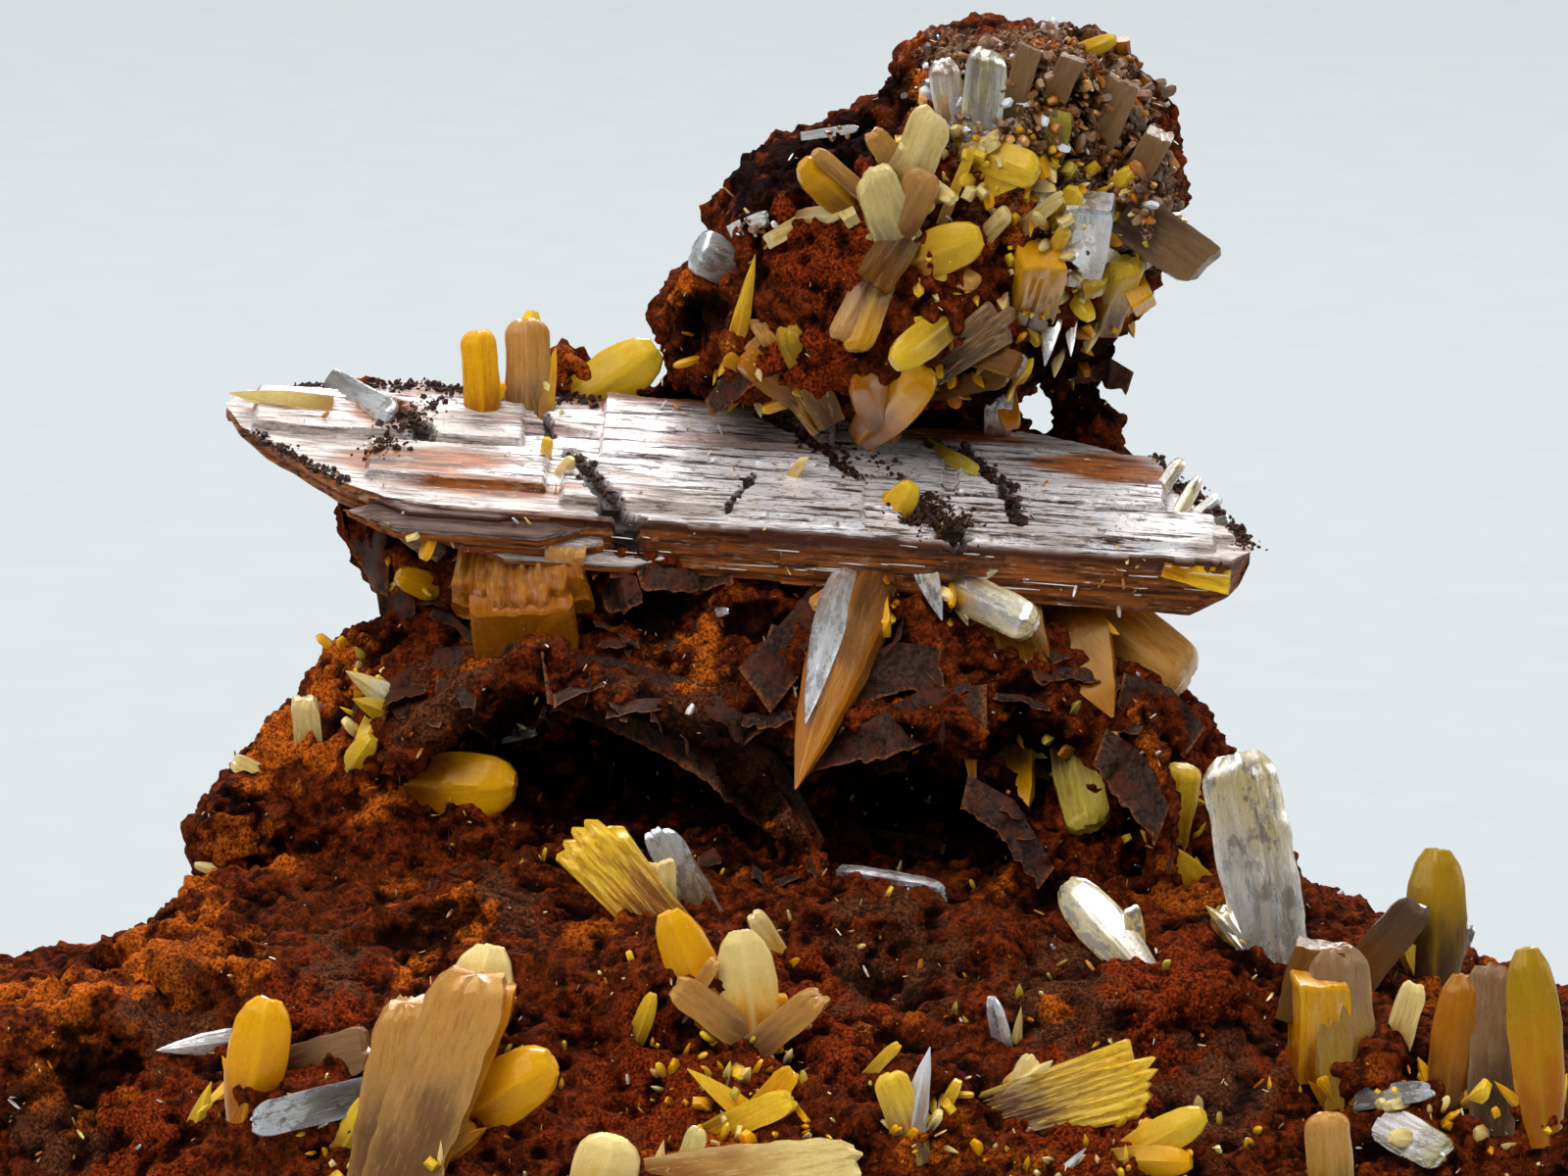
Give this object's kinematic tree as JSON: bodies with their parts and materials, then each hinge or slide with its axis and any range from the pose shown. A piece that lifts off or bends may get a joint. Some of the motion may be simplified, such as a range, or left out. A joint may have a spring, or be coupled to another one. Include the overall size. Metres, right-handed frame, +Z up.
{
  "type": "wulfenite specimen on limonite matrix",
  "caption": "Rough mineral specimen: a craggy iron-oxide rock with a hollow pillar and a knob, crossed by one long silvery wulfenite lath and studded with small yellow and pale crystals.",
  "frame": {"origin": "centre of the flat sawn base, under the middle of the specimen", "axes": "+X to the right along the long lath, as seen from the display side; -Y towards the viewer of the display side; +Z up"},
  "size_m": [0.0574, 0.037, 0.0424],
  "materials": {
    "limonite": "dark red-brown granular iron oxide, dull, with orange powdery patches",
    "wulfenite_lath": "orange-brown translucent crystal with a bright silvery, finely streaked face",
    "wulfenite_yellow": "honey yellow, translucent, resinous to adamantine",
    "wulfenite_pale": "pale cream to colourless, translucent, striated",
    "wulfenite_brown": "orange-brown, translucent, striated",
    "wulfenite_olive": "olive to greenish yellow, translucent"
  },
  "bodies": {
    "root": {"limonite_matrix": "limonite", "main_lath": "wulfenite_lath", "lath_top_prism": "wulfenite_yellow", "lath_top_grey_crystal": "wulfenite_pale", "lath_top_lens": "wulfenite_yellow", "knob_left_clear_crystal": "wulfenite_pale", "knob_left_lens": "wulfenite_yellow", "knob_pale_sheaf": "wulfenite_pale", "knob_middle_lens": "wulfenite_yellow", "knob_upper_prism": "wulfenite_yellow", "knob_olive_block": "wulfenite_olive", "knob_right_prism": "wulfenite_olive", "knob_lower_pair": "wulfenite_pale", "knob_bright_lens": "wulfenite_yellow", "knob_grey_sheaf": "wulfenite_brown", "knob_foot_pair": "wulfenite_yellow", "knob_spear": "wulfenite_yellow", "knob_striated_sheaf": "wulfenite_pale", "knob_grey_tip": "wulfenite_pale", "knob_clear_prism": "wulfenite_pale", "shelf_block": "wulfenite_brown", "shelf_white_spear": "wulfenite_pale", "shelf_left_lens": "wulfenite_yellow", "hanging_dagger": "wulfenite_brown", "hanging_pale_tooth": "wulfenite_pale", "hanging_silver_prism": "wulfenite_pale", "hanging_brown_plates": "wulfenite_brown", "right_golden_prism": "wulfenite_yellow", "cavity_triangle": "wulfenite_olive", "cavity_olive_prism": "wulfenite_olive", "right_green_prism": "wulfenite_olive", "right_yellow_tooth": "wulfenite_yellow", "right_tall_slab": "wulfenite_pale", "right_white_prism": "wulfenite_pale", "middle_white_flake": "wulfenite_pale", "right_twin_slab": "wulfenite_brown", "right_green_slab": "wulfenite_olive", "right_white_flake": "wulfenite_pale", "rear_tall_prism": "wulfenite_yellow", "rear_cluster": "wulfenite_yellow", "slope_pale_pair": "wulfenite_pale", "slope_green_lens": "wulfenite_olive", "cavity_gem": "wulfenite_yellow", "front_striated_sheaf": "wulfenite_pale", "front_white_spears": "wulfenite_pale", "front_cluster": "wulfenite_yellow", "front_small_cluster": "wulfenite_yellow", "left_white_spear": "wulfenite_pale", "left_yellow_lens": "wulfenite_yellow", "left_silver_flake": "wulfenite_pale", "front_twin": "wulfenite_brown", "front_yellow_oval": "wulfenite_yellow", "front_low_lens": "wulfenite_yellow", "front_low_slab": "wulfenite_pale", "front_pale_pair": "wulfenite_pale", "front_wide_sheaf": "wulfenite_pale", "front_yellow_pair": "wulfenite_yellow"}
  },
  "joints": []
}
